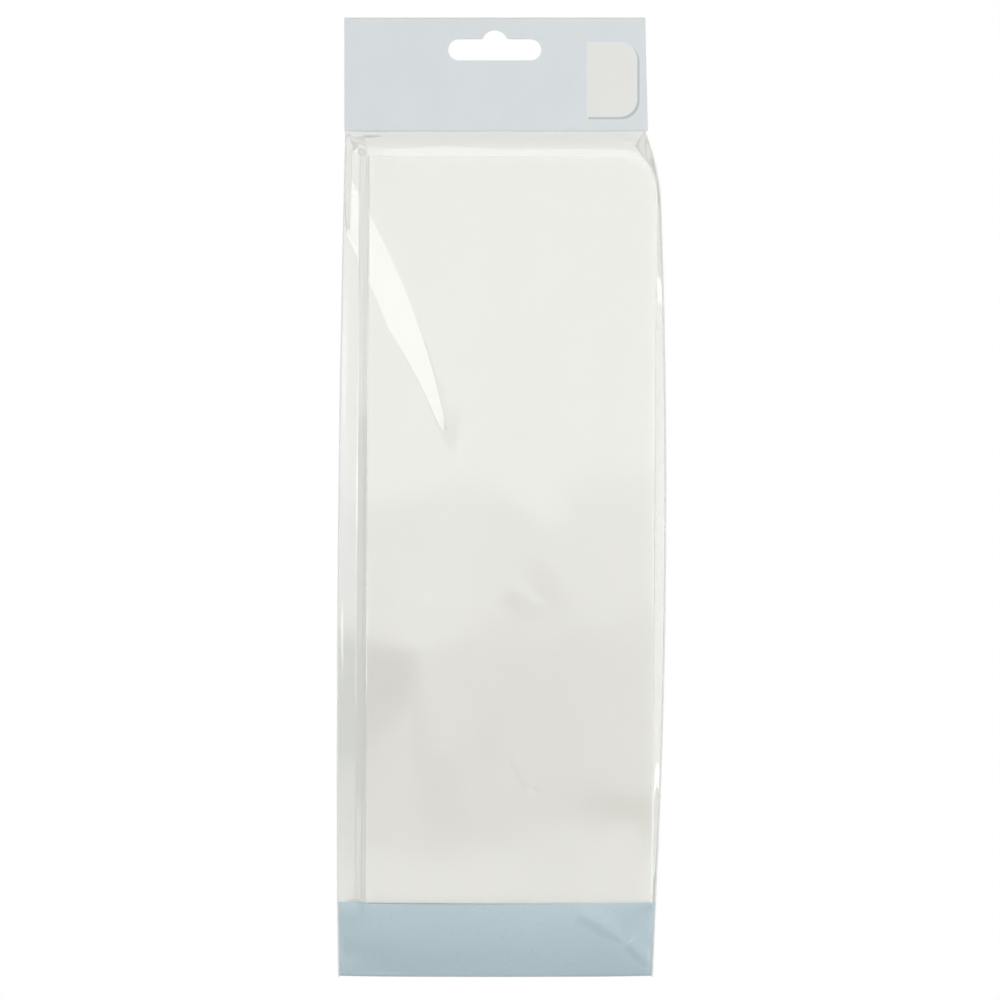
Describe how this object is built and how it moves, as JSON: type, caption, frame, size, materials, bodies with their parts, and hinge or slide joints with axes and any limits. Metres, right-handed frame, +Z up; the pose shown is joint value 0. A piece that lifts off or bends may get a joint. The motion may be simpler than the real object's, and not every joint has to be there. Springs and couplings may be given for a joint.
{
  "type": "icing smoother",
  "caption": "Tall flat icing smoother with a straight working edge, loose in a clear film bag that hangs from a folded card with a hook slot.",
  "frame": {"origin": "the highest point of the hang slot's hump, midway between the two leaves of the card", "axes": "+Z up as the pack hangs, +X to the right seen from the front, +Y to the back, so the printed front faces -Y"},
  "size_m": [0.1122, 0.004, 0.3262],
  "materials": {
    "blade_plastic": "smooth white plastic with a low sheen",
    "clear_film": "clear glossy film, slightly creased",
    "printed_film": "pale blue print on glossy film",
    "film_weld": "clear fused bead",
    "header_board": "pale grey-blue print on thin white board",
    "adhesive_strip": "double-sided adhesive strip"
  },
  "bodies": {
    "bag": {"header_card": "header_board", "header_front_tape": "adhesive_strip", "header_back_tape": "adhesive_strip", "bag_front_panel": "clear_film", "bag_back_panel": "clear_film", "printed_band": "printed_film", "bag_left_weld": "film_weld", "bag_right_weld": "film_weld"},
    "blade": {"smoother_blade": "blade_plastic"}
  },
  "joints": [
    {"name": "blade_shift", "type": "slide", "parent": "bag", "child": "blade", "axis": [0.0063, 0, 1], "range_m": [0, 0.003]}
  ]
}
